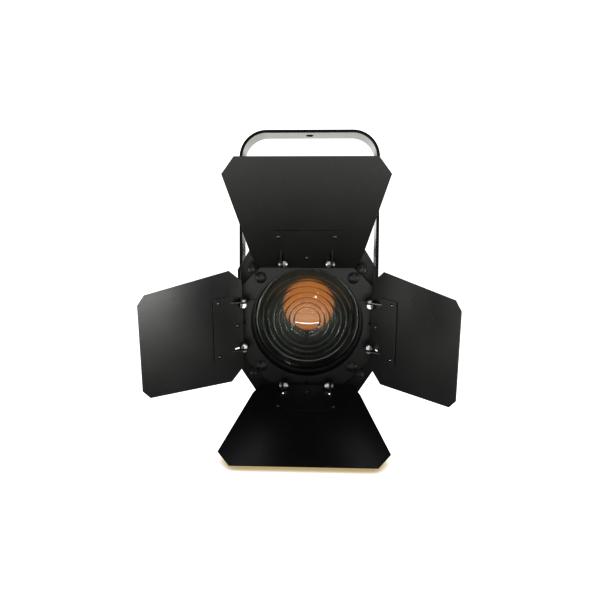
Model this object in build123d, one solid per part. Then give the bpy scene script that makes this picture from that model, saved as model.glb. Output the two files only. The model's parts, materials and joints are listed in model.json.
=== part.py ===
"""A fresnel spotlight with a four-leaf barn door, hung in a flat-bar yoke.

The head is drawn with the lens axis along -Y (the way the light leaves), X to the right of
someone looking into the lens and Z up. Its working zero is the middle of the barn door plate's
front face. Every piece is then moved so that the part's origin is the middle of the clamp hole
in the yoke. Millimetres and degrees.
"""

from build123d import *
import math
import os

# ---------------------------------------------------------------- driving dimensions
# lens and its mounting
LENS_R = 75.0
LENS_STEPS = [17.5, 24.0, 31.0, 38.8, 46.4, 54.0, 61.8, 71.0]  # outer radius of each zone
LENS_FRONT = 16.5
LENS_BACK = 28.0
LENS_CURVE = 60.0  # radius of curvature that the stepped face stands for
STEP_DRAFT = 0.5
RING_IN_R = 73.4
RING_OUT_R = 81.0

# barn door plate, in front of the panel
PLATE_HALF = 91.0
PLATE_CUT = 49.0  # where the plate's corner cuts meet its straight sides
PLATE_T = 2.0
BEAM_R = 77.0
DOME_AT = 62.8
DOME_R = 8.0
CORNER_AT = 74.1

# eight-sided casing: half sizes, and where the corner cuts start
CASE_HALF_X, CASE_HALF_Z = 97.0, 110.0
CASE_CUT_X, CASE_CUT_Z = 72.5, 71.0
CASE_T = 1.5
PANEL_INSET = 3.6
PANEL_FRONT, PANEL_T = 16.0, 2.0
CASE_FRONT, CASE_BACK = 18.0, 262.0
CASE_FLANGE = 9.0
VENT_START, VENT_PITCH, VENT_SLOT, VENTS = 168.0, 8.0, 3.2, 9
LOOP_Y, LOOP_HALF, LOOP_R = 240.0, 12.0, 2.5

# hinges of the four leaves
HINGE_OUT = 84.2  # hinge axis from the lens axis
HINGE_FWD = 19.6  # hinge axis in front of the plate
EAR_R = 4.9
EAR_T = 1.5
EAR_IN = 31.0  # inner face of a base ear, from the middle of the hinge
PIN_R = 2.45
PIN_CLEAR = 0.05
LEAF_T = 1.2
LEAF_OFF = 6.6  # inner face of a leaf, from its hinge axis
BRACKET_T = 1.5
FLARE = {"top": 69.5, "bottom": 16.6, "left": 40.5, "right": 31.6}
WIDE_LEAF = [(65.0, -9.3), (73.4, 9.4), (102.5, 119.0), (85.9, 140.3)]
SIDE_LEAF = [(60.0, -3.5), (76.2, 18.1), (62.1, 142.2), (51.3, 151.7)]

# yoke
YOKE_LEAN = 9.0
YOKE_HALF_X = 108.5
YOKE_REACH = 270.5  # tilt axis to the outer face of the top bar
YOKE_W, YOKE_T = 38.0, 4.5
YOKE_CORNER_R = 42.0
YOKE_HOLE_R = 5.5
TILT_Y = 118.0  # tilt axis behind the plate's front face
PIVOT_R = 6.15
STUD_IN = 18.0  # how far a tilt knob's stud reaches in from the yoke

# light engine carriage
ROD_X, ROD_Z, ROD_R = 80.0, -50.0, 4.0
BAR_FRONT, BAR_T = 186.0, 3.0  # cross bar that holds the rods' rear ends
BUSH_R = 7.0
CARRIAGE_Y = 80.0
CARRIAGE_HALF = 88.5
EMITTER_R = 21.0
BOARD_HALF = 25.0
SINK_HALF = 60.0
STUD_Y = 90.0
FOCUS_FORWARD, FOCUS_BACK = 15.0, 40.0
SUPPLY_Y = (140.0, 236.0)

# rear panel
FAN_HALF, FAN_R = 40.0, 38.0
REAR_T = 2.0
REAR_FACE = CASE_BACK + REAR_T
BOARD_FRONT, BOARD_BACK = 246.0, 247.6
BUTTON_X = [14.0, 28.0, 42.0, 56.0]
CONTROL_Z = 75.0
BUTTON_R = 4.4
SOCKET_Z = -78.0
INLET_X, FUSE_X, INPUT_X, OUTPUT_X = -58.0, -28.0, 8.0, 44.0

FORWARD = Vector(0, -1, 0)
OUTWARD = {
    "top": Vector(0, 0, 1),
    "bottom": Vector(0, 0, -1),
    "left": Vector(-1, 0, 0),
    "right": Vector(1, 0, 0),
}

lean = math.radians(YOKE_LEAN)
HOLE_REACH = YOKE_REACH - YOKE_T / 2
TO_ORIGIN = Pos(0, -TILT_Y - HOLE_REACH * math.sin(lean), -HOLE_REACH * math.cos(lean))


# ---------------------------------------------------------------- helpers
def save(name, *pieces):
    """Write one node: a single solid, or a group of separate ones."""
    moved = [TO_ORIGIN * piece for piece in pieces]
    shape = moved[0] if len(moved) == 1 else Compound(children=moved)
    export_step(shape, f"parts/{name}.step")


def block(x, y, z):
    """A box from three (low, high) pairs."""
    size = [high - low for low, high in (x, y, z)]
    middle = [(high + low) / 2 for low, high in (x, y, z)]
    return Pos(*middle) * Box(*size)


def rod(radius, start, end):
    """A cylinder from one point to another."""
    along = Vector(*end) - Vector(*start)
    base = Plane(origin=start, z_dir=along)
    return base.location * Cylinder(radius, along.length, align=(Align.CENTER, Align.CENTER, Align.MIN))


def disc(radius, y, x=0.0, z=0.0):
    """A cylinder along Y, between two values of y."""
    return rod(radius, (x, y[0], z), (x, y[1], z))


def ring(outer, inner, y, x=0.0, z=0.0):
    return disc(outer, y, x, z) - disc(inner, (y[0] - 1, y[1] + 1), x, z)


def slab(face, y):
    """Push a face drawn in X and Z through the range of y."""
    plane = Plane(origin=(0, y[1], 0), x_dir=(1, 0, 0), z_dir=(0, -1, 0))
    return extrude(plane * face, amount=y[1] - y[0])


def octagon(half_x, half_z, cut_x, cut_z):
    right = [(cut_x, -half_z), (half_x, -cut_z), (half_x, cut_z), (cut_x, half_z)]
    left = [(-x, z) for x, z in reversed(right)]
    return Polygon(*right, *left, align=None)


def case_outline(inset=0.0):
    outline = octagon(CASE_HALF_X, CASE_HALF_Z, CASE_CUT_X, CASE_CUT_Z)
    return offset(outline, amount=-inset, kind=Kind.INTERSECTION) if inset else outline


def corners(distance):
    return [(sx * distance, sz * distance) for sx in (-1, 1) for sz in (-1, 1)]


def button_head(radius, height, y_back, x, z, socket_r):
    """A low domed screw head on a face at y_back, pointing forward, with a hex socket."""
    profile = [(0, 0), (radius, 0), (radius, 0.25 * height), (0.72 * radius, 0.8 * height)]
    profile += [(0.45 * radius, height), (0, height)]
    head = revolve(Plane.XZ * Polygon(*profile, align=None), Axis.Z)
    depth = 0.6 * height
    head -= Pos(0, 0, height - depth) * extrude(RegularPolygon(socket_r, 6), amount=depth)
    return Plane(origin=(x, y_back, z), z_dir=FORWARD).location * head


# ---------------------------------------------------------------- casing and panels
def make_housing():
    shell = slab(case_outline() - case_outline(CASE_T), (CASE_FRONT, CASE_BACK))
    flange = case_outline(CASE_T / 2) - case_outline(CASE_FLANGE)
    shell += slab(flange, (CASE_FRONT, CASE_FRONT + CASE_T))
    shell += slab(flange, (CASE_BACK - CASE_T, CASE_BACK))
    for n in range(VENTS):
        y = VENT_START + VENT_PITCH * n
        slit = (y, y + VENT_SLOT)
        for side in (-1, 1):
            shell -= block(sorted((side * 90, side * 100)), slit, (22, 62))
            shell -= block(sorted((side * 90, side * 100)), slit, (-62, -22))
        shell -= block((-55, -6), slit, (104, 114))
        shell -= block((6, 55), slit, (104, 114))
    slot = (STUD_Y - FOCUS_FORWARD - 4, STUD_Y + FOCUS_BACK + 4)
    shell -= block((-3.4, 3.4), slot, (-114, -104))
    shell -= rod(10, (-110, TILT_Y, 0), (110, TILT_Y, 0))
    for x in (-LOOP_HALF, LOOP_HALF):
        shell -= rod(LOOP_R + 0.1, (x, LOOP_Y, 100), (x, LOOP_Y, 115))
    for x, z in corners(CORNER_AT):
        shell -= disc(3.0, (10, 30), x, z)
    for x, z in rear_screw_places():
        shell -= disc(1.9, (255, 270), x, z)
    return shell


def rear_screw_places():
    ends = [(x, z) for x in (-45, 45) for z in (-103, 103)]
    return ends + [(x, z) for x in (-90, 90) for z in (-35, 35)]


def make_front_panel():
    panel = slab(case_outline(PANEL_INSET), (PANEL_FRONT, PANEL_FRONT + PANEL_T))
    panel = chamfer(panel.faces().sort_by(Axis.Y)[0].outer_wire().edges(), 0.7)
    panel -= disc(LENS_R + 0.3, (10, 30))
    for x, z in corners(CORNER_AT):
        panel -= disc(3.0, (10, 30), x, z)
    return panel


def make_rear_panel():
    y = (CASE_BACK, CASE_BACK + REAR_T)
    panel = slab(case_outline(PANEL_INSET), y)
    panel -= disc(FAN_R, (255, 270))
    panel -= block((-52, -2), (255, 270), (CONTROL_Z - 9, CONTROL_Z + 9))
    for x in BUTTON_X:
        panel -= disc(BUTTON_R + 0.08, (255, 270), x, CONTROL_Z)
    panel -= block((-71.5, -44.5), (255, 270), (SOCKET_Z - 10, SOCKET_Z + 10))
    panel -= disc(6.5, (255, 270), FUSE_X, SOCKET_Z)
    for x in (INPUT_X, OUTPUT_X):
        panel -= disc(12, (255, 270), x, SOCKET_Z)
    for x, z in rear_screw_places():
        panel -= disc(2.1, (255, 270), x, z)
    return panel


def make_rear_screws():
    screws = []
    for x, z in rear_screw_places():
        head = disc(3.6, (REAR_FACE, REAR_FACE + 2.2), x, z)
        screws.append(head + disc(1.9, (CASE_BACK - 6, REAR_FACE), x, z))
    return screws


def make_safety_loop():
    """A bent wire through the casing's top, for the safety cable."""
    foot, top = 104.0, 122.0
    left, right = -LOOP_HALF, LOOP_HALF
    path = Polyline((left, LOOP_Y, foot), (left, LOOP_Y, top))
    path += ThreePointArc((left, LOOP_Y, top), (0, LOOP_Y, top + LOOP_HALF), (right, LOOP_Y, top))
    path += Line((right, LOOP_Y, top), (right, LOOP_Y, foot))
    start = Plane(origin=(left, LOOP_Y, foot), z_dir=(0, 0, 1))
    return sweep(start * Circle(LOOP_R), path=path)


def make_pivot_boss(side):
    boss = rod(10, (side * 90, TILT_Y, 0), (side * 97, TILT_Y, 0))
    boss += rod(17, (side * 97, TILT_Y, 0), (side * 101, TILT_Y, 0))
    boss += rod(PIVOT_R, (side * 101, TILT_Y, 0), (side * 108.2, TILT_Y, 0))
    return boss - rod(4.05, (side * 80, TILT_Y, 0), (side * 120, TILT_Y, 0))


# ---------------------------------------------------------------- lens group
def make_lens():
    """Each zone is a slice of one steep dome, set forward so that its inner edge is at the front."""
    points = [(0, LENS_BACK), (0, LENS_FRONT)]
    inner = 0.0
    for outer in LENS_STEPS:
        for part in range(1, 5):
            r = inner + (outer - inner) * part / 4
            points.append((r, LENS_FRONT + (r * r - inner * inner) / (2 * LENS_CURVE)))
        inner = outer + STEP_DRAFT
        points.append((inner, LENS_FRONT if outer < LENS_STEPS[-1] else 22.0))
    points += [(LENS_R, 22.0), (LENS_R, LENS_BACK)]
    profile = Plane.XY * Polygon(*points, align=None)
    return revolve(profile, Axis.Y)


def make_lens_ring():
    body = ring(RING_OUT_R, RING_IN_R, (13, PANEL_FRONT))
    rims = body.edges().filter_by(GeomType.CIRCLE).group_by(Axis.Y)[0]
    return chamfer(rims, 0.8)


def make_lens_holder():
    return ring(82, LENS_R + 0.3, (18, LENS_BACK)) + ring(82, 71, (LENS_BACK, LENS_BACK + 2))


# ---------------------------------------------------------------- barn door plate
def make_plate():
    plate = slab(octagon(PLATE_HALF, PLATE_HALF, PLATE_CUT, PLATE_CUT), (0, PLATE_T))
    plate -= disc(BEAM_R, (-5, 5))
    for x, z in corners(DOME_AT):
        plate -= disc(3.0, (-5, 5), x, z)
    for side in OUTWARD.values():
        spot = side * (HINGE_OUT + 1.8)
        plate -= disc(1.9, (-5, 5), spot.X, spot.Z)
    return plate


def base_frame(side):
    """Across the hinge, outward from the lens axis, and forward."""
    outward = OUTWARD[side]
    return Plane(origin=(0, 0, 0), x_dir=outward.cross(FORWARD), z_dir=FORWARD).location


def leaf_frame(side):
    """Along the hinge, out along the leaf, and square to it, away from the beam."""
    flare = math.radians(FLARE[side])
    outward = OUTWARD[side]
    square = outward * math.cos(flare) - FORWARD * math.sin(flare)
    hinge = outward * HINGE_OUT + FORWARD * HINGE_FWD
    return Plane(origin=hinge, x_dir=FORWARD.cross(outward), z_dir=square).location


def make_hinge_base(side):
    edge = EAR_IN + EAR_T
    foot = block((-edge, edge), (66, PLATE_HALF), (0, EAR_T)) - Cylinder(BEAM_R, 10)
    foot -= Pos(0, HINGE_OUT + 1.8, 0) * Cylinder(1.9, 10)
    for sign in (-1, 1):
        x = sorted((sign * EAR_IN, sign * edge))
        ear = block(x, (HINGE_OUT - EAR_R, HINGE_OUT + EAR_R), (0, HINGE_FWD))
        ear += rod(EAR_R, (x[0], HINGE_OUT, HINGE_FWD), (x[1], HINGE_OUT, HINGE_FWD))
        foot += ear
    hole = rod(PIN_R + PIN_CLEAR, (-50, HINGE_OUT, HINGE_FWD), (50, HINGE_OUT, HINGE_FWD))
    return base_frame(side) * (foot - hole)


def make_hinge_bolt(side, sign):
    head_at = EAR_IN + 2 * EAR_T + 0.2
    axis_y, axis_z = HINGE_OUT, HINGE_FWD
    bolt = rod(PIN_R, (sign * 24.6, axis_y, axis_z), (sign * head_at, axis_y, axis_z))
    head = rod(4.6, (sign * head_at, axis_y, axis_z), (sign * (head_at + 2.8), axis_y, axis_z))
    rim = head.edges().filter_by(GeomType.CIRCLE).sort_by(Axis.X)[-1 if sign > 0 else 0]
    return base_frame(side) * (bolt + fillet(rim, 1.4))


def make_hinge_nut(side, sign):
    across_flats, length = 8.0, 3.9
    face = Plane(origin=(sign * EAR_IN, HINGE_OUT, HINGE_FWD), z_dir=(-sign, 0, 0)).location
    nut = extrude(RegularPolygon(across_flats / 2, 6, major_radius=False), amount=length)
    nut += Pos(0, 0, length) * extrude(Circle(3.7), amount=1.5)
    return base_frame(side) * (face * (nut - Cylinder(PIN_R, 30)))


def leaf_outline(half_outline):
    mirrored = [(-u, v) for u, v in reversed(half_outline)]
    return Polygon(*half_outline, *mirrored, align=None)


def ear_notches():
    """Slits that let the base ears pass as the leaf turns."""
    near, far = EAR_IN - 0.4, EAR_IN + EAR_T + 0.4
    return [block(sorted((sign * near, sign * far)), (-20, 11), (-20, 20)) for sign in (-1, 1)]


def bracket_reach(side):
    return 45.0 if side in ("top", "bottom") else 47.0


def rivet_places(side):
    reach = bracket_reach(side) - 8.4
    return [(-36.2, reach), (36.2, reach), (0.0, 6.3)]


def make_leaf(side):
    half_outline = WIDE_LEAF if side in ("top", "bottom") else SIDE_LEAF
    leaf = Pos(0, 0, LEAF_OFF) * extrude(leaf_outline(half_outline), amount=LEAF_T)
    for notch in ear_notches():
        leaf -= notch
    for u, v in rivet_places(side):
        leaf -= Pos(u, v, LEAF_OFF) * Cylinder(1.6, 10)
    return leaf_frame(side) * leaf


def make_leaf_bracket(side):
    reach = bracket_reach(side)
    inner = WIDE_LEAF[0][1] if side in ("top", "bottom") else SIDE_LEAF[0][1]
    outline = [(30, inner + 0.6), (30, 12), (37, 12), (42, 17), (42, reach)]
    back = LEAF_OFF - BRACKET_T
    bracket = Pos(0, 0, back) * extrude(leaf_outline(outline), amount=BRACKET_T)
    for u, v in rivet_places(side):
        bracket -= Pos(u, v, LEAF_OFF) * Cylinder(1.6, 10)
    for sign in (-1, 1):
        low = EAR_IN + EAR_T + 0.1
        start = sign * low if sign > 0 else sign * (low + EAR_T)
        across = Plane(origin=(start, 0, 0), x_dir=(0, 1, 0), z_dir=(1, 0, 0))
        lug = make_hull((Circle(EAR_R) + Pos(12, LEAF_OFF - 0.75) * Rectangle(12, 1.5)).edges())
        bracket += across.location * extrude(lug, amount=EAR_T)
    bracket -= rod(PIN_R + PIN_CLEAR, (-50, 0, 0), (50, 0, 0))
    return leaf_frame(side) * bracket


def dome(radius, height):
    """A slice of a ball, standing on the local XY plane."""
    ball = (radius**2 + height**2) / (2 * height)
    return Pos(0, 0, height - ball) * Sphere(ball) & Pos(0, 0, height / 2) * Cylinder(radius + 1, height)


def make_rivets(side):
    """A domed head on the bracket and a flat tail on the leaf's outer face."""
    face, back = LEAF_OFF - BRACKET_T, LEAF_OFF + LEAF_T
    rivet = rod(1.6, (0, 0, face), (0, 0, back)) + rod(2.4, (0, 0, back), (0, 0, back + 0.7))
    rivet += Pos(0, 0, face) * Rot(180, 0, 0) * dome(2.6, 1.5)
    return [leaf_frame(side) * Pos(u, v, 0) * rivet for u, v in rivet_places(side)]


def make_dome_screw(x, z):
    screw = dome(DOME_R, 4.6) + rod(2.95, (0, 0, -12), (0, 0, 0))
    return Plane(origin=(x, 0, z), z_dir=FORWARD).location * screw


def make_corner_screw(x, z):
    head = button_head(5.25, 3.3, -2.0, x, z, 2.3)
    return head + disc(2.95, (-2, 24), x, z)


# ---------------------------------------------------------------- light engine
def make_carriage():
    plate = block((-CARRIAGE_HALF, CARRIAGE_HALF), (CARRIAGE_Y, CARRIAGE_Y + 3), (-66, 62))
    plate += block((-15, 15), (CARRIAGE_Y, CARRIAGE_Y + 3), (-105, -66))
    plate += block((-9, 9), (CARRIAGE_Y, STUD_Y + 7), (-105, -92))
    plate -= rod(3.05, (0, STUD_Y, -120), (0, STUD_Y, -80))
    for x in (-ROD_X, ROD_X):
        plate -= disc(BUSH_R, (CARRIAGE_Y - 1, CARRIAGE_Y + 4), x, ROD_Z)
    return plate


def make_bushes():
    y = (CARRIAGE_Y - 7, CARRIAGE_Y + 13)
    return [ring(BUSH_R, ROD_R + 0.05, y, x, ROD_Z) for x in (-ROD_X, ROD_X)]


def make_heat_sink():
    back = CARRIAGE_Y + 3
    sink = block((-SINK_HALF, SINK_HALF), (back, back + 8), (-SINK_HALF, SINK_HALF))
    pitch = (2 * SINK_HALF - 2) / 14
    for n in range(15):
        x = -SINK_HALF + n * pitch
        sink += block((x, x + 2), (back + 7.5, back + 58), (-SINK_HALF, SINK_HALF))
    return sink


def make_led_board():
    board = block((-BOARD_HALF, BOARD_HALF), (CARRIAGE_Y - 1.8, CARRIAGE_Y), (-BOARD_HALF, BOARD_HALF))
    return board + disc(EMITTER_R, (CARRIAGE_Y - 2.6, CARRIAGE_Y - 1.8))


def make_led_holder():
    body = ring(39, EMITTER_R + 1.5, (CARRIAGE_Y - 5, CARRIAGE_Y))
    pocket = BOARD_HALF + 0.1
    return body - block((-pocket, pocket), (CARRIAGE_Y - 1.9, CARRIAGE_Y + 1), (-pocket, pocket))


def make_rod_supports():
    supports = []
    for x in (-ROD_X, ROD_X):
        holder = block((x - 7.8, x + 7.8), (18.1, 30), (ROD_Z - 9, ROD_Z + 9))
        supports.append(holder - disc(ROD_R, (15, 40), x, ROD_Z) - disc(82.1, (15, 40)))
    wall = CASE_HALF_X - CASE_T
    bar = block((-wall, wall), (BAR_FRONT, BAR_FRONT + BAR_T), (-64, -38))
    for x in (-ROD_X, ROD_X):
        bar -= disc(ROD_R, (180, 200), x, ROD_Z)
    return supports + [bar]


# ---------------------------------------------------------------- rear panel fittings
def make_fan_frame():
    y = (CASE_BACK - 25, CASE_BACK)
    frame = block((-FAN_HALF, FAN_HALF), y, (-FAN_HALF, FAN_HALF)) - disc(FAN_R, (200, 300))
    frame += disc(17, (y[1] - 3, y[1]))
    for n in range(3):
        strut = block((-2, 2), (y[1] - 3, y[1]), (15, FAN_HALF - 1))
        frame += Rot(0, 120 * n, 0) * strut
    return frame + disc(2, (y[0] + 6, y[1] - 1))


def make_fan_rotor():
    y = (CASE_BACK - 25, CASE_BACK - 6)
    middle = (y[0] + y[1]) / 2
    blade = Pos(0, middle, 26) * Rot(0, 0, 38) * Box(2, 17, 21.5)
    rotor = disc(17, y)
    for n in range(7):
        rotor += Rot(0, 360 / 7 * n, 0) * blade
    return (rotor & disc(37, y)) - disc(2.05, (y[0] + 3, y[1] + 1))


def make_fan_grille():
    y = (REAR_FACE, REAR_FACE + 2)
    grille = ring(43, 40.5, y)
    for radius in (33, 26, 19, 12):
        grille += ring(radius, radius - 1.6, y)
    for angle in (45, 135):
        grille += Rot(0, angle, 0) * block((-42, 42), y, (-1.5, 1.5))
    return grille + disc(6, y)


def make_power_inlet():
    y = (CASE_BACK - 16, REAR_FACE + 2.5)
    x = INLET_X
    body = block((x - 13.4, x + 13.4), y, (SOCKET_Z - 9.9, SOCKET_Z + 9.9))
    body += block((x - 16, x + 16), (REAR_FACE, y[1]), (SOCKET_Z - 12, SOCKET_Z + 12))
    body -= block((x - 11.5, x + 11.5), (CASE_BACK - 13, 300), (SOCKET_Z - 8, SOCKET_Z + 8))
    for pin_x, pin_z in ((-7, -1), (7, -1), (0, 4)):
        spot = (SOCKET_Z + pin_z - 2, SOCKET_Z + pin_z + 2)
        body += block((x + pin_x - 1, x + pin_x + 1), (CASE_BACK - 14, CASE_BACK + 1), spot)
    return body


def make_signal_socket(x, pins):
    """A three-pole round socket: a deep cup with pins, or a face with three holes."""
    body = disc(11.9, (CASE_BACK - 14, REAR_FACE), x, SOCKET_Z)
    body += block((x - 13, x + 13), (REAR_FACE, REAR_FACE + 2.5), (SOCKET_Z - 15, SOCKET_Z + 15))
    places = [(x + 4.6 * math.sin(a), SOCKET_Z + 4.6 * math.cos(a)) for a in (math.pi, -1.2, 1.2)]
    if pins:
        body -= disc(9.5, (CASE_BACK - 11, 300), x, SOCKET_Z)
        for px, pz in places:
            body += disc(1.2, (CASE_BACK - 12, CASE_BACK + 1), px, pz)
    else:
        body -= ring(10, 8.8, (CASE_BACK - 8, 300), x, SOCKET_Z)
        for px, pz in places:
            body -= disc(1.5, (CASE_BACK - 10, 300), px, pz)
    return body


def make_fuse_holder():
    cap = disc(8, (REAR_FACE, REAR_FACE + 7), FUSE_X, SOCKET_Z)
    cap += disc(6.4, (CASE_BACK - 12, REAR_FACE), FUSE_X, SOCKET_Z)
    slot = block((FUSE_X - 8, FUSE_X + 8), (REAR_FACE + 5.5, REAR_FACE + 9), (SOCKET_Z - 1, SOCKET_Z + 1))
    return cap - slot


def make_control_board():
    """The board with its display, four key switches and four pillars to the rear panel."""
    board = block((-60, 66), (BOARD_FRONT, BOARD_BACK), (CONTROL_Z - 17, CONTROL_Z + 17))
    board += block((-50, -4), (BOARD_BACK, 258), (CONTROL_Z - 8, CONTROL_Z + 8))
    for x in BUTTON_X:
        board += block((x - 3, x + 3), (BOARD_BACK, 250.5), (CONTROL_Z - 3, CONTROL_Z + 3))
    for x in (-56, 62):
        for z in (CONTROL_Z - 13, CONTROL_Z + 13):
            board += disc(2.5, (BOARD_BACK, CASE_BACK), x, z)
    return board


def make_button(x):
    cap = disc(BUTTON_R, (252, REAR_FACE + 2.5), x, CONTROL_Z)
    return cap + disc(5.6, (252, 254), x, CONTROL_Z)


# ---------------------------------------------------------------- yoke and knobs
def make_yoke():
    """Drawn upright about the tilt axis, then leaned back."""
    inner_x = YOKE_HALF_X - YOKE_T
    tall = 2 * YOKE_REACH
    outside = fillet(Rectangle(2 * YOKE_HALF_X, tall).vertices(), YOKE_CORNER_R)
    inside = fillet(Rectangle(2 * inner_x, tall - 2 * YOKE_T).vertices(), YOKE_CORNER_R - YOKE_T)
    hoop = slab(outside - inside, (-YOKE_W / 2, YOKE_W / 2))
    side_view = Circle(YOKE_W / 2) + Pos(0, YOKE_REACH / 2 + 5) * Rectangle(YOKE_W, YOKE_REACH + 10)
    across = Plane(origin=(-120, 0, 0), x_dir=(0, 1, 0), z_dir=(1, 0, 0))
    yoke = hoop & extrude(across * side_view, amount=240)
    yoke -= rod(PIVOT_R + PIN_CLEAR, (-120, 0, 0), (120, 0, 0))
    yoke -= rod(YOKE_HOLE_R, (0, 0, YOKE_REACH - 10), (0, 0, YOKE_REACH + 10))
    return Pos(0, TILT_Y, 0) * Rot(-YOKE_LEAN, 0, 0) * yoke


def make_pivot_pad(side):
    pad = rod(17, (side * 101.05, TILT_Y, 0), (side * 103.95, TILT_Y, 0))
    return pad - rod(PIVOT_R + 0.1, (side * 90, TILT_Y, 0), (side * 120, TILT_Y, 0))


def make_tilt_knob(side):
    """A five-lobed grip on a stud that screws into the pivot boss."""
    start = YOKE_HALF_X + 0.1
    grip = extrude(Circle(21), amount=14)
    for n in range(5):
        grip -= Rot(0, 0, 72 * n + 36) * (Pos(24.5, 0, 7) * Cylinder(7.5, 20))
    grip = fillet(grip.faces().sort_by(Axis.Z)[-1].outer_wire().edges(), 1.6)
    hub = Cylinder(12, 6, align=(Align.CENTER, Align.CENTER, Align.MIN))
    grip = hub + Pos(0, 0, 6) * grip
    stud = Pos(0, 0, -STUD_IN) * Cylinder(4, STUD_IN + 6, align=(Align.CENTER, Align.CENTER, Align.MIN))
    facing = Plane(origin=(side * start, TILT_Y, 0), x_dir=(0, 1, 0), z_dir=(side, 0, 0))
    return facing.location * (grip + stud)


def make_focus_knob():
    top = -CASE_HALF_Z - 1.0
    knob = rod(11, (0, STUD_Y, top), (0, STUD_Y, top - 15))
    for n in range(12):
        angle = math.radians(30 * n)
        x, y = 11.6 * math.cos(angle), STUD_Y + 11.6 * math.sin(angle)
        knob -= rod(1.5, (x, y, top + 1), (x, y, top - 20))
    return knob + rod(3, (0, STUD_Y, -95), (0, STUD_Y, top - 1))


# ---------------------------------------------------------------- write the nodes
def save_casing():
    save("housing_shell", make_housing())
    save("front_panel", make_front_panel())
    save("rear_panel", make_rear_panel())
    save("rear_panel_screws", *make_rear_screws())
    save("safety_loop", make_safety_loop())
    save("pivot_bosses", *[make_pivot_boss(side) for side in (-1, 1)])


def save_lens_group():
    save("lens", make_lens())
    save("lens_gasket", ring(LENS_R, RING_IN_R, (PANEL_FRONT, 22)))
    save("lens_ring", make_lens_ring())
    save("lens_holder", make_lens_holder())
    save("baffle_tube", ring(75.5, 74, (LENS_BACK + 2, 60)))


def save_barn_door():
    save("barn_door_plate", make_plate())
    inner = [ring(5, 3, (PLATE_T, PANEL_FRONT), x, z) for x, z in corners(DOME_AT)]
    outer = [ring(4.5, 3, (0, PANEL_FRONT), x, z) for x, z in corners(CORNER_AT)]
    save("front_standoffs", *inner, *outer)
    save("dome_screws", *[make_dome_screw(x, z) for x, z in corners(DOME_AT)])
    save("corner_washers", *[ring(7.5, 3, (-2, 0), x, z) for x, z in corners(CORNER_AT)])
    save("corner_screws", *[make_corner_screw(x, z) for x, z in corners(CORNER_AT)])
    save("hinge_bolts", *[make_hinge_bolt(side, sign) for side in OUTWARD for sign in (-1, 1)])
    save("hinge_nuts", *[make_hinge_nut(side, sign) for side in OUTWARD for sign in (-1, 1)])
    for side in OUTWARD:
        save(f"hinge_base_{side}", make_hinge_base(side))
        save(f"leaf_{side}", make_leaf(side))
        save(f"leaf_bracket_{side}", make_leaf_bracket(side))
        save(f"leaf_rivets_{side}", *make_rivets(side))


def save_light_engine():
    save("guide_rods", *[disc(ROD_R, (18.2, 195), x, ROD_Z) for x in (-ROD_X, ROD_X)])
    save("rod_supports", *make_rod_supports())
    save("carriage_plate", make_carriage())
    save("rod_bushes", *make_bushes())
    save("heat_sink", make_heat_sink())
    save("led_board", make_led_board())
    save("led_holder", make_led_holder())
    save("focus_knob", make_focus_knob())


def save_electrics():
    supply_floor = CASE_T - CASE_HALF_Z
    save("power_supply", block((-60, 60), SUPPLY_Y, (supply_floor, -68)))
    save("control_board", make_control_board())
    window_z = (CONTROL_Z - 8.8, CONTROL_Z + 8.8)
    save("display_window", block((-51.8, -2.2), (260, REAR_FACE), window_z))
    save("power_inlet", make_power_inlet())
    save("fuse_holder", make_fuse_holder())
    save("dmx_input", make_signal_socket(INPUT_X, pins=True))
    save("dmx_output", make_signal_socket(OUTPUT_X, pins=False))
    save("fan_frame", make_fan_frame())
    save("fan_rotor", make_fan_rotor())
    save("fan_grille", make_fan_grille())
    for n, x in enumerate(BUTTON_X, start=1):
        save(f"menu_button_{n}", make_button(x))


def save_yoke():
    save("yoke", make_yoke())
    save("pivot_pads", *[make_pivot_pad(side) for side in (-1, 1)])
    save("tilt_knob_left", make_tilt_knob(-1))
    save("tilt_knob_right", make_tilt_knob(1))


os.makedirs("parts", exist_ok=True)
save_casing()
save_lens_group()
save_barn_door()
save_light_engine()
save_electrics()
save_yoke()
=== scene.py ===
"""Looks of a fresnel spotlight with a four-leaf barn door. Metres, in the CAD model's frame."""
import json
import math

import bmesh
import bpy
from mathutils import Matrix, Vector


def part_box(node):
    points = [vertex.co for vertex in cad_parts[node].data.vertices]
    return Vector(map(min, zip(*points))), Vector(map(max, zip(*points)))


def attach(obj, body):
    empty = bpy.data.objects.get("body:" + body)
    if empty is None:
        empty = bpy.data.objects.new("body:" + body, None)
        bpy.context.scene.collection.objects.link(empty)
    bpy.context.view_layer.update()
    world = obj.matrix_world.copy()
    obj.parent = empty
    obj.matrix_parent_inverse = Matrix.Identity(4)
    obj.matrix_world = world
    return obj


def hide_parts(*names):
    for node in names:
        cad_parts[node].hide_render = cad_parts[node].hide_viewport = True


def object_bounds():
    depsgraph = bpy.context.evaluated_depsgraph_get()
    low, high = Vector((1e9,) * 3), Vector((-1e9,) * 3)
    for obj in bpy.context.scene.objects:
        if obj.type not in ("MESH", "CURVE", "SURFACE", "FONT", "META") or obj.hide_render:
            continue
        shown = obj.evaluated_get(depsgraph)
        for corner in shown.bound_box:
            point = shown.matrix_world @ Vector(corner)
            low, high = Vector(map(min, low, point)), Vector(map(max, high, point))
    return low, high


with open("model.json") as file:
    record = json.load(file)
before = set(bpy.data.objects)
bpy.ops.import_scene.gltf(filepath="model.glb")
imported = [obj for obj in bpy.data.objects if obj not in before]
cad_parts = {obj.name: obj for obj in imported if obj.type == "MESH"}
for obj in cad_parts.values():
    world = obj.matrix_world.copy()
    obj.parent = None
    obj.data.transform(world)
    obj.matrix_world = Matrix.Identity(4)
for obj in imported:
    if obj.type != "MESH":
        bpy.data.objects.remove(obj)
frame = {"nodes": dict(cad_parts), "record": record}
nodes = frame["nodes"]
cad_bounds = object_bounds()

MM = 0.001

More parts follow.
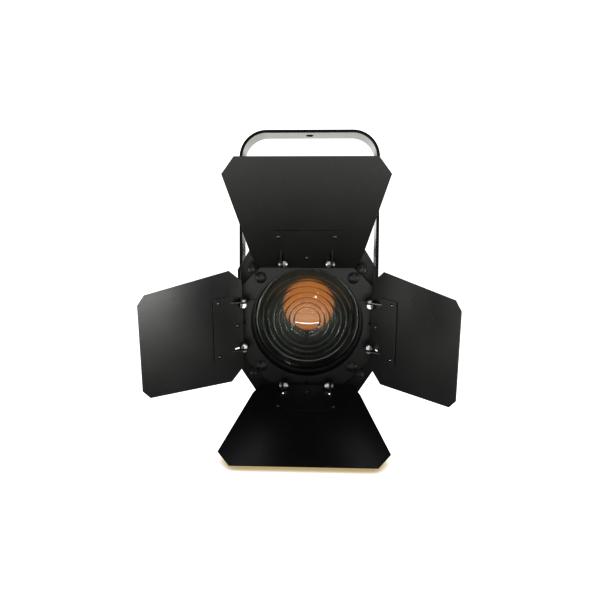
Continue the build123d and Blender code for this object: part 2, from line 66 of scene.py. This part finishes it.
# the lens axis runs along Y through this point, on the barn door plate's front face
lens_low, lens_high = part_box("lens")
plate_low, plate_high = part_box("barn_door_plate")
ZERO = Vector((0, plate_low.y, (lens_low.z + lens_high.z) / 2))
FLOOR_Z = cad_bounds[0].z

LENS_ZONES = [17.5, 24.0, 31.0, 38.8, 46.4, 54.0, 61.8, 71.0]  # outer radii, in millimetres
ZONE_CURVE = 60.0  # radius of the dome that the zones stand for
ZONE_DRAFT = 1.3
ZONE_CREST = 0.25
ZONE_STEPS = 8
FLANGE_DEPTH = 5.5  # the clamped flange lies this far behind the lens's front
RIM_ROUND = 0.6
LENS_THICK = 11.5
LENS_RIM = 75.0
TURNS = 192

CHIP_PITCH = 2.4 * MM
# strength of the phosphor's painted glow, which brightens the unlit emitter
PAINTED_PHOSPHOR_GLOW = 0.245


# ---------------------------------------------------------------- material building blocks
def blank(name):
    """A new node material: its tree and its Principled shader."""
    material = bpy.data.materials.new(name)
    material.use_nodes = True
    return material, material.node_tree, material.node_tree.nodes["Principled BSDF"]


def add(tree, kind, settings=None, **inputs):
    """A node, with its settings, and its inputs given by name as values or as sockets."""
    made = tree.nodes.new(kind)
    for key, value in (settings or {}).items():
        setattr(made, key, value)
    for key, value in inputs.items():
        socket = made.inputs[key.replace("_", " ")]
        if isinstance(value, bpy.types.NodeSocket):
            tree.links.new(value, socket)
        else:
            socket.default_value = value
    return made


def place(tree):
    return add(tree, "ShaderNodeTexCoord").outputs["Object"]


def noise(tree, size, detail=2.0, roughness=0.5, stretch=None):
    """Noise whose blobs are about `size` metres across, stretched along axes if asked."""
    where = place(tree)
    if stretch:
        mapped = add(tree, "ShaderNodeMapping", Vector=where)
        mapped.inputs["Scale"].default_value = stretch
        where = mapped.outputs["Vector"]
    made = add(tree, "ShaderNodeTexNoise", Vector=where, Scale=1 / size, Detail=detail,
               Roughness=roughness)
    return made.outputs["Fac"]


def spread(tree, value, low, high, start=0.3, end=0.7):
    """Maps a noise value onto a range of numbers."""
    made = add(tree, "ShaderNodeMapRange", Value=value)
    for key, number in zip(("From Min", "From Max", "To Min", "To Max"), (start, end, low, high)):
        made.inputs[key].default_value = number
    return made.outputs["Result"]


def between(tree, share, first, second):
    """A colour between two, by a share from 0 to 1. Each may be a colour or a socket."""
    made = add(tree, "ShaderNodeMix", {"data_type": "RGBA"})
    tree.links.new(share, made.inputs[0])
    for socket, colour in ((made.inputs[6], first), (made.inputs[7], second)):
        if isinstance(colour, bpy.types.NodeSocket):
            tree.links.new(colour, socket)
        else:
            socket.default_value = (*colour, 1)
    return made.outputs[2]


def multiply(tree, first, second):
    made = add(tree, "ShaderNodeMath", {"operation": "MULTIPLY"})
    for socket, value in zip(made.inputs, (first, second)):
        if isinstance(value, bpy.types.NodeSocket):
            tree.links.new(value, socket)
        else:
            socket.default_value = value
    return made.outputs["Value"]


def edges(tree, radius):
    """1 on sharp edges, 0 on flat ground."""
    rounded = add(tree, "ShaderNodeBevel", {"samples": 4}, Radius=radius).outputs["Normal"]
    true = add(tree, "ShaderNodeNewGeometry").outputs["Normal"]
    dot = add(tree, "ShaderNodeVectorMath", {"operation": "DOT_PRODUCT"})
    tree.links.new(rounded, dot.inputs[0])
    tree.links.new(true, dot.inputs[1])
    return spread(tree, dot.outputs["Value"], 1.0, 0.0, 0.80, 0.985)


def relief(tree, height, depth, strength=1.0):
    bump = add(tree, "ShaderNodeBump", Height=height, Distance=depth, Strength=strength)
    return bump.outputs["Normal"]


def join(tree, shader, **inputs):
    for key, value in inputs.items():
        socket = shader.inputs[key.replace("_", " ")]
        if isinstance(value, bpy.types.NodeSocket):
            tree.links.new(value, socket)
        else:
            socket.default_value = value


# ---------------------------------------------------------------- materials
def powder_coat(name, colour, rough, grain=0.55 * MM, depth=0.03 * MM, dust=0.1, wear=0.5, shine=0.5):
    """Baked-on paint: fine orange peel, faint dust and blotches, edges rubbed a little lighter."""
    material, tree, shader = blank(name)
    peel = noise(tree, grain, detail=3.0, roughness=0.6)
    blotch = noise(tree, 40 * MM, detail=6.0, roughness=0.7)
    lighter = [1.25 * channel + 0.0005 for channel in colour]
    tint = between(tree, spread(tree, blotch, 0.0, 1.0), colour, lighter)
    speck = spread(tree, noise(tree, 1.5 * MM, detail=2.0), 0.0, 1.0, 0.55, 0.75)
    tint = between(tree, multiply(tree, speck, dust), tint, (0.12, 0.12, 0.115))
    patchy = spread(tree, noise(tree, 5 * MM, detail=4.0), 0.1, 1.0, 0.42, 0.6)
    rubbed = multiply(tree, multiply(tree, edges(tree, 0.5 * MM), patchy), wear)
    tint = between(tree, rubbed, tint, (0.16, 0.16, 0.165))
    dull = spread(tree, blotch, rough - 0.02, rough + 0.02)
    join(tree, shader, Base_Color=tint, Roughness=dull, Specular_IOR_Level=shine,
         Normal=relief(tree, peel, depth))
    return material


def bare_metal(name, colour, rough, grain=(1, 1, 1), scratch=0.01 * MM, stain=0.6):
    """Metal with fine machining marks along one direction and slight staining."""
    material, tree, shader = blank(name)
    marks = noise(tree, 0.8 * MM, detail=4.0, roughness=0.7, stretch=grain)
    blotch = noise(tree, 7 * MM, detail=4.0, roughness=0.6)
    darker = [stain * channel for channel in colour]
    tint = between(tree, spread(tree, blotch, 0.0, 1.0), darker, colour)
    dull = spread(tree, marks, 0.7 * rough, 1.5 * rough)
    join(tree, shader, Base_Color=tint, Metallic=1.0, Roughness=dull,
         Normal=relief(tree, marks, scratch))
    return material


def moulded(name, colour, rough, grain=0.35 * MM, depth=0.02 * MM):
    """Moulded plastic or rubber with a fine texture and faint handling marks."""
    material, tree, shader = blank(name)
    texture = noise(tree, grain, detail=2.0)
    handled = noise(tree, 9 * MM, detail=4.0, roughness=0.6)
    lighter = [1.5 * channel + 0.004 for channel in colour]
    tint = between(tree, spread(tree, handled, 0.0, 1.0), colour, lighter)
    tint = between(tree, multiply(tree, edges(tree, 0.4 * MM), 0.3), tint, (0.14, 0.14, 0.14))
    dull = spread(tree, handled, rough - 0.06, rough + 0.08)
    join(tree, shader, Base_Color=tint, Roughness=dull, Normal=relief(tree, texture, depth))
    return material


def lens_glass():
    """Pressed glass: a smooth stepped front, and a stippled back that blurs what lies behind it."""
    material, tree, shader = blank("pressed_glass")
    depth = add(tree, "ShaderNodeSeparateXYZ", Vector=place(tree)).outputs["Y"]
    back = spread(tree, depth, 0.0, 1.0, (LENS_THICK - 0.2) * MM, (LENS_THICK - 0.1) * MM)
    stipple = multiply(tree, noise(tree, 1.7 * MM, detail=1.0), back)
    smear = spread(tree, noise(tree, 14 * MM, detail=4.0), 0.0, 0.03)
    dull = add(tree, "ShaderNodeMath", {"operation": "ADD"})
    tree.links.new(smear, dull.inputs[0])
    tree.links.new(multiply(tree, back, 0.16), dull.inputs[1])
    join(tree, shader, Base_Color=(0.62, 0.66, 0.61, 1), Roughness=dull.outputs["Value"],
         Transmission_Weight=1.0, IOR=1.5, Normal=relief(tree, stipple, 0.05 * MM))
    return material


def phosphor():
    """Silicone over phosphor, with a faint painted glow that brightens the unlit emitter, and the grid
    of chips just showing.
    """
    material, tree, shader = blank("phosphor")
    chips = add(tree, "ShaderNodeTexVoronoi", {"distance": "CHEBYCHEV"}, Vector=place(tree),
                Scale=1 / CHIP_PITCH, Randomness=0.15)
    share = spread(tree, chips.outputs["Distance"], 0.0, 1.0, 0.25, 0.6)
    tint = between(tree, share, (0.95, 0.36, 0.07), (0.85, 0.25, 0.04))
    # the emission is a painted glow: the emitter itself is not lit
    join(tree, shader, Base_Color=tint, Roughness=0.35, Emission_Color=tint,
         Emission_Strength=PAINTED_PHOSPHOR_GLOW, Normal=relief(tree, noise(tree, 1.5 * MM), 0.03 * MM))
    return material


def circuit():
    """Green solder mask over copper tracks."""
    material, tree, shader = blank("circuit")
    tracks = add(tree, "ShaderNodeTexWave", {"wave_type": "BANDS"}, Vector=place(tree),
                 Scale=60.0, Distortion=6.0)
    share = spread(tree, tracks.outputs["Fac"], 0.0, 1.0, 0.45, 0.55)
    tint = between(tree, share, (0.012, 0.06, 0.025), (0.03, 0.13, 0.05))
    join(tree, shader, Base_Color=tint, Roughness=spread(tree, noise(tree, 4 * MM), 0.3, 0.5),
         Normal=relief(tree, share, 0.03 * MM))
    return material


def display_glass():
    """A dark window with faint dust on it."""
    material, tree, shader = blank("display_glass")
    dust = spread(tree, noise(tree, 0.9 * MM, detail=4.0), 0.0, 1.0, 0.55, 0.8)
    tint = between(tree, dust, (0.006, 0.009, 0.012), (0.03, 0.032, 0.034))
    join(tree, shader, Base_Color=tint, Roughness=spread(tree, dust, 0.06, 0.25, 0.0, 1.0),
         Normal=relief(tree, dust, 0.005 * MM))
    return material


LEAF_PAINT = powder_coat("leaf_paint", (0.011, 0.011, 0.0109), 0.29)
CASE_PAINT = powder_coat("case_paint", (0.009, 0.009, 0.0094), 0.38)
YOKE_PAINT = powder_coat("yoke_paint", (0.004, 0.004, 0.0042), 0.27, depth=0.0005 * MM,
                         dust=0.02, wear=0.1, shine=0.33)
BLACK_SCREW = moulded("blackened_steel", (0.018, 0.018, 0.0185), 0.36, grain=0.5 * MM,
                      depth=0.006 * MM)
RIVET = bare_metal("rivet_steel", (0.12, 0.12, 0.122), 0.2)
ZINC = bare_metal("zinc_plate", (0.9, 0.91, 0.92), 0.3, stain=0.85)
# the nuts' zinc at under half its brightness, with the same roughness, for the hinge bolts' heads
DARKER_ZINC = bare_metal("darker_zinc", (0.42, 0.42, 0.43), 0.3)
GROUND_ROD = bare_metal("ground_steel", (0.6, 0.6, 0.61), 0.2, grain=(1, 0.1, 1))
WIRE = bare_metal("plated_wire", (0.42, 0.42, 0.43), 0.3)
LOOP_STEEL = bare_metal("loop_steel", (0.62, 0.62, 0.6), 0.32)
BARE_ALUMINIUM = bare_metal("milled_aluminium", (0.72, 0.72, 0.73), 0.33, grain=(1, 1, 0.08))
BLACK_ANODISED = moulded("black_anodised", (0.010, 0.010, 0.011), 0.34, grain=0.3 * MM,
                         depth=0.006 * MM)
BAFFLE_BLACK = moulded("baffle_black", (0.006, 0.006, 0.006), 0.6)
RUBBER = moulded("rubber", (0.008, 0.008, 0.008), 0.7)
PLASTIC = moulded("black_plastic", (0.012, 0.012, 0.0125), 0.45)
HOLDER = moulded("holder_plastic", (0.012, 0.011, 0.010), 0.5)
BRONZE = bare_metal("bronze", (0.5, 0.3, 0.13), 0.4)
GLASS = lens_glass()
PHOSPHOR = phosphor()
CIRCUIT = circuit()
DISPLAY = display_glass()

SLOT_MATERIALS = {
    "painted_black": LEAF_PAINT,
    "painted_black_satin": CASE_PAINT,
    "black_screw": BLACK_SCREW,
    "bright_steel": ZINC,
    "steel_rod": GROUND_ROD,
    "clear_glass": GLASS,
    "rubber_black": RUBBER,
    "baffle_black": BAFFLE_BLACK,
    "anodised_black": BLACK_ANODISED,
    "bare_aluminium": BARE_ALUMINIUM,
    "bronze": BRONZE,
    "phosphor": PHOSPHOR,
    "holder_black": HOLDER,
    "plastic_black": PLASTIC,
    "circuit_green": CIRCUIT,
    "display": DISPLAY,
    "grille_steel": WIRE,
    "loop_steel": LOOP_STEEL,
}
OWN_MATERIALS = {"yoke": YOKE_PAINT, "hinge_bolts": DARKER_ZINC}
OWN_MATERIALS |= {name: RIVET for name in nodes if name.startswith("leaf_rivets")}


# ---------------------------------------------------------------- the carried-over pieces
EDGE_RADIUS = {"yoke": 0.5 * MM, "front_panel": 0.3 * MM}
SHEET_EDGE = 0.25 * MM
SHEET_NAMES = ("leaf_top", "leaf_bottom", "leaf_left", "leaf_right", "leaf_bracket", "hinge_base",
               "barn_door")
SHEET_NODES = [name for name in nodes if name.startswith(SHEET_NAMES)]
SMOOTH_ANGLE = math.radians(32)
FLAT_ANGLE = math.radians(0.4)
WELD_GAP = 0.002 * MM


def soften(piece, radius):
    """Joins the faces' split corners and gives every sharp edge a small round."""
    weld = piece.modifiers.new("weld", "WELD")
    weld.merge_threshold = WELD_GAP
    flat = piece.modifiers.new("flat", "DECIMATE")
    flat.decimate_type = "DISSOLVE"
    flat.angle_limit = FLAT_ANGLE
    rounded = piece.modifiers.new("round", "BEVEL")
    rounded.width = radius
    rounded.segments = 2
    rounded.limit_method = "ANGLE"
    rounded.angle_limit = SMOOTH_ANGLE
    rounded.use_clamp_overlap = True
    rounded.miter_outer = "MITER_ARC"
    normals = piece.modifiers.new("normals", "WEIGHTED_NORMAL")
    normals.keep_sharp = True


def dress_cad_nodes():
    slot_of = {row["node"]: row["material_slot"] for row in frame["record"]["subparts"]}
    for name, piece in nodes.items():
        material = OWN_MATERIALS.get(name, SLOT_MATERIALS[slot_of[name]])
        for held in piece.material_slots:
            held.material = material
        if name in EDGE_RADIUS:
            soften(piece, EDGE_RADIUS[name])
        elif name in SHEET_NODES:
            soften(piece, SHEET_EDGE)


# ---------------------------------------------------------------- the lens
def lens_profile():
    """(radius, depth behind the front, sharp) from the front's middle to the back's, in millimetres."""
    profile = [(0.0, 0.0, False)]
    inner = 0.0
    for outer in LENS_ZONES:
        for step in range(1, ZONE_STEPS + 1):
            r = inner + (outer - inner) * step / ZONE_STEPS
            profile.append((r, (r * r - inner * inner) / (2 * ZONE_CURVE), step == ZONE_STEPS))
        inner = outer + ZONE_DRAFT
        profile.append((inner, ZONE_CREST if outer < LENS_ZONES[-1] else FLANGE_DEPTH, True))
    profile += [(LENS_RIM - RIM_ROUND, FLANGE_DEPTH, False), (LENS_RIM, FLANGE_DEPTH + RIM_ROUND, False)]
    profile += [(LENS_RIM, LENS_THICK - RIM_ROUND, False), (LENS_RIM - RIM_ROUND, LENS_THICK, True)]
    profile += [(r, LENS_THICK, False) for r in (60.0, 45.0, 30.0, 15.0, 0.0)]
    return profile


def lathe(name, profile, origin, turns=TURNS):
    """Turns a profile of (radius, depth along +Y, sharp), in millimetres, about the lens axis."""
    mesh = bmesh.new()
    rings = []
    for radius, depth, _ in profile:
        y = depth * MM
        if radius == 0:
            rings.append([mesh.verts.new((0, y, 0))])
            continue
        angles = [2 * math.pi * n / turns for n in range(turns)]
        places = [(radius * MM * math.cos(a), y, radius * MM * math.sin(a)) for a in angles]
        rings.append([mesh.verts.new(spot) for spot in places])
    for near, far in zip(rings, rings[1:]):
        for n in range(turns):
            after = (n + 1) % turns
            corners = [near[n % len(near)], near[after % len(near)],
                       far[after % len(far)], far[n % len(far)]]
            mesh.faces.new(list(dict.fromkeys(corners)))
    bmesh.ops.recalc_face_normals(mesh, faces=mesh.faces)
    for face in mesh.faces:
        face.smooth = True
    for ring, (_, _, sharp) in zip(rings, profile):
        if sharp:
            members = set(ring)
            for vertex in ring:
                for edge in vertex.link_edges:
                    edge.smooth = edge.smooth and edge.other_vert(vertex) not in members
    data = bpy.data.meshes.new(name)
    mesh.to_mesh(data)
    mesh.free()
    piece = bpy.data.objects.new(name, data)
    piece.location = origin
    bpy.context.scene.collection.objects.link(piece)
    return piece


def stand_for(piece, material, body, slot, *replaced):
    piece.data.materials.append(material)
    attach(piece, body)
    if replaced:
        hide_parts(*replaced)
    return piece


def make_lens():
    front = Vector((0, lens_low.y, ZERO.z))
    lens = lathe("stepped_lens", lens_profile(), front)
    return stand_for(lens, GLASS, "head", "clear_glass", "lens")


# ---------------------------------------------------------------- floor, light and camera
FLOOR_SHADE = 0.03  # how far the shadow under the object reaches
FLOOR_GAP = 6 * MM
FLOOR_CENTRE = (0, ZERO.y - 0.05, 0)
FLOOR_NEAR = 0.23  # closer to its centre than this, the floor sends up its weakest light
FLOOR_FAR = 0.56  # and further out than this, its strongest


def make_floor():
    """White paper. The camera sees it white, with a painted warm shadow where the object is close above;
    the light that it sends up is separate from that, and weaker close by."""
    material, tree, shader = blank("floor_white")
    occlusion = add(tree, "ShaderNodeAmbientOcclusion", {"samples": 8}, Distance=FLOOR_SHADE)
    # painted contact shadow: ambient occlusion tints the white that the camera sees a warm dark
    outside_painted_shadow = spread(tree, occlusion.outputs["AO"], 0.0, 1.0, 0.35, 0.95)
    seen = between(tree, outside_painted_shadow, (0.36, 0.29, 0.16), (1.05, 1.05, 1.05))
    away = add(tree, "ShaderNodeVectorMath", {"operation": "DISTANCE"})
    tree.links.new(place(tree), away.inputs[0])
    away.inputs[1].default_value = FLOOR_CENTRE
    mottled = spread(tree, noise(tree, 0.3, detail=3.0), -0.03, 0.03)
    reach = add(tree, "ShaderNodeMath", {"operation": "ADD"})
    distant = spread(tree, away.outputs["Value"], 0.0, 1.0, FLOOR_NEAR, FLOOR_FAR)
    tree.links.new(distant, reach.inputs[0])
    tree.links.new(mottled, reach.inputs[1])
    sent = between(tree, reach.outputs["Value"], (0.09, 0.09, 0.085), (1.9, 1.87, 1.78))
    camera_ray = add(tree, "ShaderNodeLightPath").outputs["Is Camera Ray"]
    join(tree, shader, Base_Color=(0, 0, 0, 1), Roughness=1.0, Specular_IOR_Level=0.0,
         Emission_Color=between(tree, camera_ray, sent, seen), Emission_Strength=1.0)
    bpy.ops.mesh.primitive_plane_add(size=24, location=(0, 0, FLOOR_Z - FLOOR_GAP))
    floor = bpy.context.object
    floor.name = "studio_floor"
    floor.data.materials.append(material)


def make_world():
    """White seamless. The camera sees it plain white; the light that it sends on the object is
    separate from that, and weaker from above and from -X."""
    world = bpy.data.worlds.new("studio")
    bpy.context.scene.world = world
    world.use_nodes = True
    tree = world.node_tree
    tree.nodes.clear()
    direction = add(tree, "ShaderNodeTexCoord").outputs["Generated"]
    split = add(tree, "ShaderNodeSeparateXYZ", Vector=direction)
    sideways = spread(tree, split.outputs["X"], 0.75, 1.0, -0.9, 0.9)
    upward = spread(tree, split.outputs["Z"], 1.0, 0.24, 0.05, 0.6)
    lit = add(tree, "ShaderNodeBackground", Color=(0.985, 0.99, 1.0, 1),
              Strength=multiply(tree, sideways, upward))
    seen = add(tree, "ShaderNodeBackground", Color=(1, 1, 1, 1), Strength=1.05)
    camera_ray = add(tree, "ShaderNodeLightPath").outputs["Is Camera Ray"]
    chosen = add(tree, "ShaderNodeMixShader")
    tree.links.new(camera_ray, chosen.inputs[0])
    tree.links.new(lit.outputs[0], chosen.inputs[1])
    tree.links.new(seen.outputs[0], chosen.inputs[2])
    output = add(tree, "ShaderNodeOutputWorld")
    tree.links.new(chosen.outputs[0], output.inputs["Surface"])


def area_light(name, at, towards, size, power, colour=(1, 1, 1)):
    data = bpy.data.lights.new(name, "AREA")
    data.shape = "RECTANGLE"
    data.size, data.size_y = size
    data.energy = power
    data.color = colour
    lamp = bpy.data.objects.new(name, data)
    lamp.location = at
    lamp.rotation_euler = (Vector(towards) - Vector(at)).to_track_quat("-Z", "Y").to_euler()
    lamp.visible_camera = False
    bpy.context.scene.collection.objects.link(lamp)
    return lamp


def fall_on(lamp, *pieces):
    """Lets a lamp light these pieces only."""
    group = bpy.data.collections.new(lamp.name + "_receivers")
    for piece in pieces:
        group.objects.link(piece)
    lamp.light_linking.receiver_collection = group


def leaf_pieces(side):
    return [nodes[name] for name in (f"leaf_{side}", f"leaf_bracket_{side}", f"leaf_rivets_{side}")]


# each side leaf's own two lamps: (side, place from the plate's middle, watts)
LEAF_FRONTS = (("left", (0.95, -0.65, -0.26), 25), ("right", (-0.95, -0.6, -0.22), 36))
LEAF_SHEENS = (("left", (0.82, -0.14, -0.28), 5.0), ("right", (-0.62, 0.14, -0.24), 3.0))


def make_lights(lens):
    """Two soft lamps on everything, two on each side leaf alone, and a strip on the lens alone."""
    area_light("overhead", ZERO + Vector((0.1, 0.5, 1.6)), ZERO, (1.2, 0.8), 3)
    area_light("key", ZERO + Vector((0.45, -0.9, 0.95)), ZERO, (0.16, 0.16), 1.6)
    for side, at, power in LEAF_FRONTS:
        front = area_light(side + "_front", ZERO + Vector(at), ZERO, (0.9, 0.6), power)
        fall_on(front, *leaf_pieces(side))
    for side, at, power in LEAF_SHEENS:
        sheen = area_light(side + "_sheen", ZERO + Vector(at), ZERO, (0.9, 0.8), power)
        sheen.data.use_shadow = False
        fall_on(sheen, *leaf_pieces(side))
    window = area_light("window", ZERO + Vector((0, -0.24, -0.125)), ZERO, (0.36, 0.018), 0.45)
    fall_on(window, lens)


CAMERA_PLACE = (0.017, -0.695, 0.1792)  # from the plate's middle
CAMERA_YAW = -0.038
CAMERA_PITCH = 0.2085  # downwards, in radians
FOCAL_LENGTH = 31.2  # in millimetres, on a 36 mm sensor


def make_camera():
    """Above and in front of the head, looking slightly down."""
    data = bpy.data.cameras.new("camera")
    data.sensor_width = 36
    data.lens = FOCAL_LENGTH
    camera = bpy.data.objects.new("camera", data)
    camera.location = ZERO + Vector(CAMERA_PLACE)
    camera.rotation_euler = (math.pi / 2 - CAMERA_PITCH, 0, -CAMERA_YAW)
    bpy.context.scene.collection.objects.link(camera)
    bpy.context.scene.camera = camera


dress_cad_nodes()
made_lens = make_lens()
make_floor()
make_world()
make_lights(made_lens)
make_camera()
bpy.context.scene.view_settings.view_transform = "Standard"
bpy.context.scene.view_settings.look = "High Contrast"
